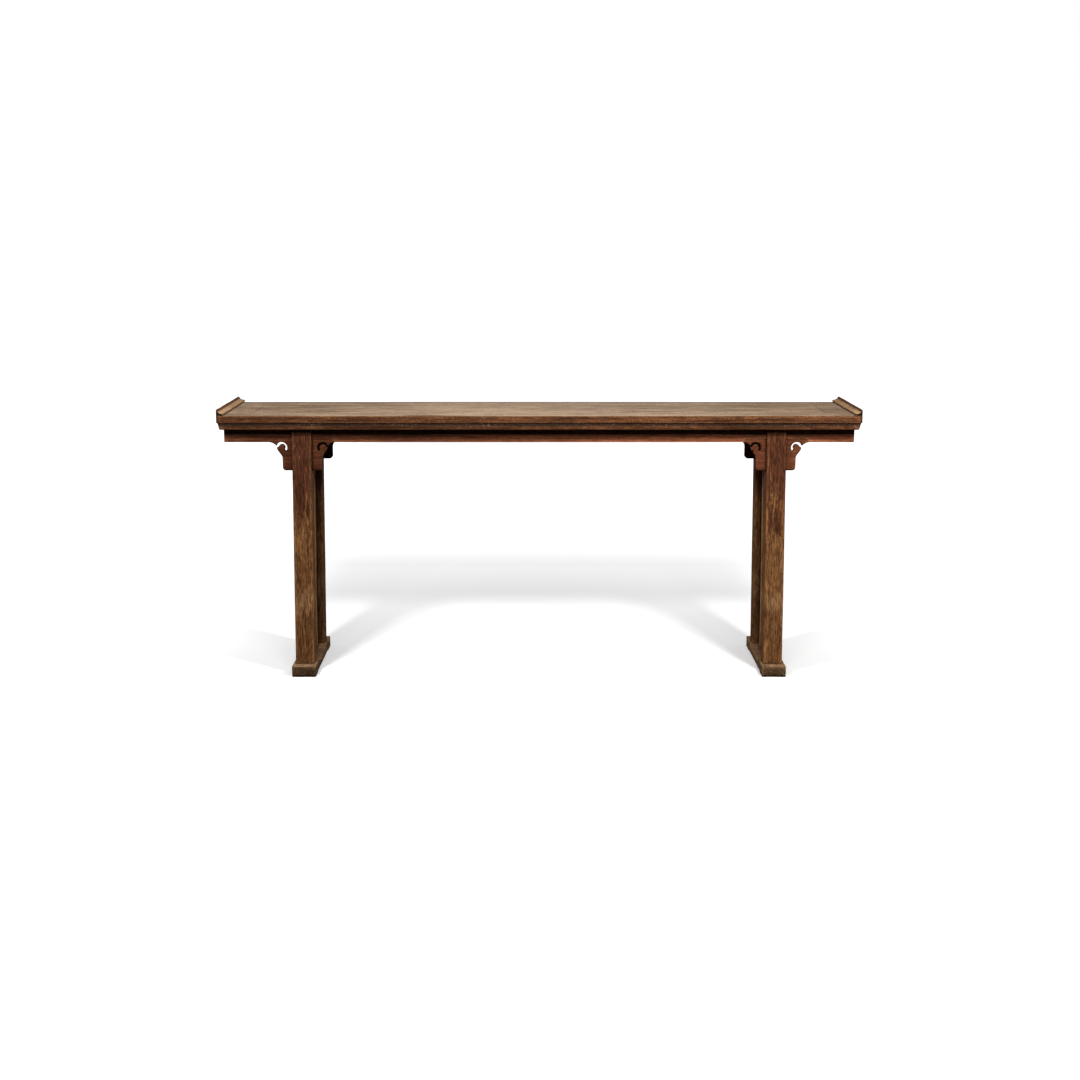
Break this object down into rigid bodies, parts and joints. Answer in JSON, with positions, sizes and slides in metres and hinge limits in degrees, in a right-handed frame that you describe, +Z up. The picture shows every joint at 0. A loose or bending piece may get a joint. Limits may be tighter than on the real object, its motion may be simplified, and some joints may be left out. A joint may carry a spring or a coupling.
{
  "type": "altar table",
  "caption": "Long recessed-leg altar table with everted end flanges, cloud-head spandrels, panelled ends and sled feet.",
  "frame": {"origin": "on the floor under the middle of the table", "axes": "+X along the table to the right, +Y to the back, +Z up"},
  "size_m": [2.14, 0.402, 0.92],
  "materials": {
    "apron_elm": "reddish-brown lacquer on elm",
    "apron_elm_end": "reddish-brown lacquer on elm, grain across the table",
    "batten_elm": "bare dark elm",
    "edge_elm": "worn brown lacquer on elm, grain along the table",
    "edge_elm_end": "worn brown lacquer on elm, grain across the table",
    "flange_elm": "worn pale brown elm, grain across the table",
    "foot_elm": "grey-brown weathered elm",
    "leg_elm": "worn reddish-brown lacquer on elm, paler towards the foot",
    "panel_elm": "bare weathered elm, grain along the table",
    "side_member_elm": "worn brown lacquer on elm, grain across the table",
    "side_panel_elm": "dark worn lacquer on elm",
    "side_stile_elm": "worn brown lacquer on elm, upright grain",
    "spandrel_elm": "reddish-brown lacquer on elm"
  },
  "bodies": {
    "root": {"top_front_rail": "edge_elm", "top_back_rail": "edge_elm", "top_end_rail_left": "edge_elm_end", "top_end_rail_right": "edge_elm_end", "top_panel": "panel_elm", "top_batten_1": "batten_elm", "top_batten_2": "batten_elm", "top_batten_3": "batten_elm", "top_batten_4": "batten_elm", "top_batten_5": "batten_elm", "flange_left": "flange_elm", "flange_right": "flange_elm", "leg_front_left": "leg_elm", "leg_front_right": "leg_elm", "leg_back_left": "leg_elm", "leg_back_right": "leg_elm", "apron_front": "apron_elm", "apron_back": "apron_elm", "apron_left": "apron_elm_end", "apron_right": "apron_elm_end", "spandrel_front_left": "spandrel_elm", "spandrel_front_right": "spandrel_elm", "spandrel_back_left": "spandrel_elm", "spandrel_back_right": "spandrel_elm", "side_rail_left": "side_member_elm", "side_rail_right": "side_member_elm", "side_stile_front_left": "side_stile_elm", "side_stile_front_right": "side_stile_elm", "side_stile_back_left": "side_stile_elm", "side_stile_back_right": "side_stile_elm", "side_frame_top_left": "side_member_elm", "side_frame_top_right": "side_member_elm", "side_frame_bottom_left": "side_member_elm", "side_frame_bottom_right": "side_member_elm", "side_panel_left": "side_panel_elm", "side_panel_right": "side_panel_elm", "foot_left": "foot_elm", "foot_right": "foot_elm"}
  },
  "joints": []
}
